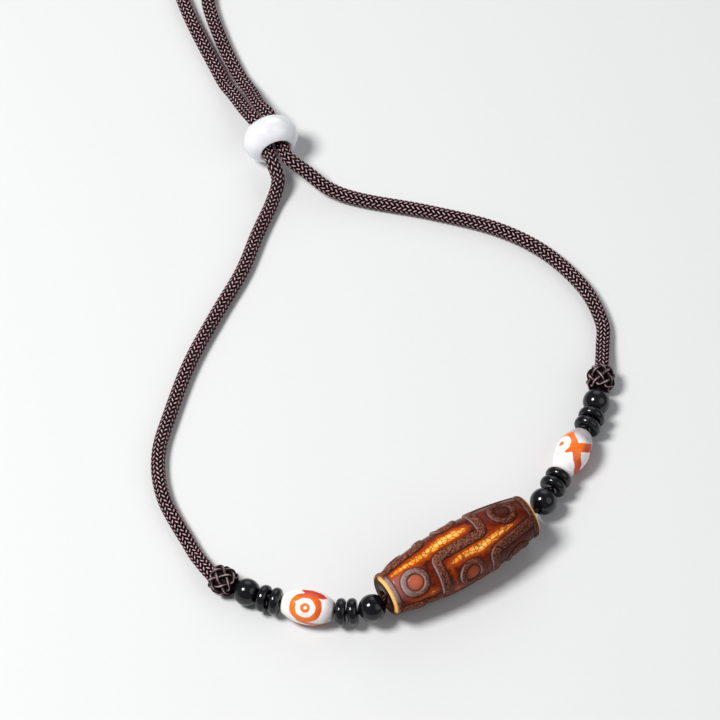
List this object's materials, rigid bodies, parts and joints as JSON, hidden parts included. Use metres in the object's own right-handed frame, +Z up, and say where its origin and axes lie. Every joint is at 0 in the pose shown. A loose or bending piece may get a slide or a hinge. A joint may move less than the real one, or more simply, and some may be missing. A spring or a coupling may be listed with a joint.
{
  "type": "dzi bead necklace",
  "caption": "Folk necklace lying flat: a carved amber-brown dzi bead between round and disc beads and banded agates, on a braided cord that runs twice through a white slider bead.",
  "frame": {"origin": "middle of the box round the beads, knots and slider, at the surface that the necklace lies on", "axes": "+Z up from that surface; +Y from the main bead towards the slider; +X to the right, towards the right end of the main bead"},
  "size_m": [0.1044, 0.2422, 0.0142],
  "materials": {
    "carved_agate": "polished translucent amber-brown agate with matt raised carving",
    "banded_agate": "polished white agate with orange-red bands",
    "black_agate": "polished black agate",
    "white_stone": "polished milky white stone",
    "braided_cord": "round braid of near-black maroon yarn with pinkish stitches",
    "thread": "waxed black thread"
  },
  "bodies": {
    "root": {"main_bead": "carved_agate", "left_inner_round": "black_agate", "left_disc_1": "black_agate", "left_disc_2": "black_agate", "left_agate": "banded_agate", "left_disc_3": "black_agate", "left_disc_4": "black_agate", "left_outer_round": "black_agate", "left_knot": "braided_cord", "right_inner_round": "black_agate", "right_disc_1": "black_agate", "right_disc_2": "black_agate", "right_agate": "banded_agate", "right_disc_3": "black_agate", "right_disc_4": "black_agate", "right_outer_round": "black_agate", "right_knot": "braided_cord", "bead_thread": "thread", "slider": "white_stone", "cord": "braided_cord"}
  },
  "joints": []
}
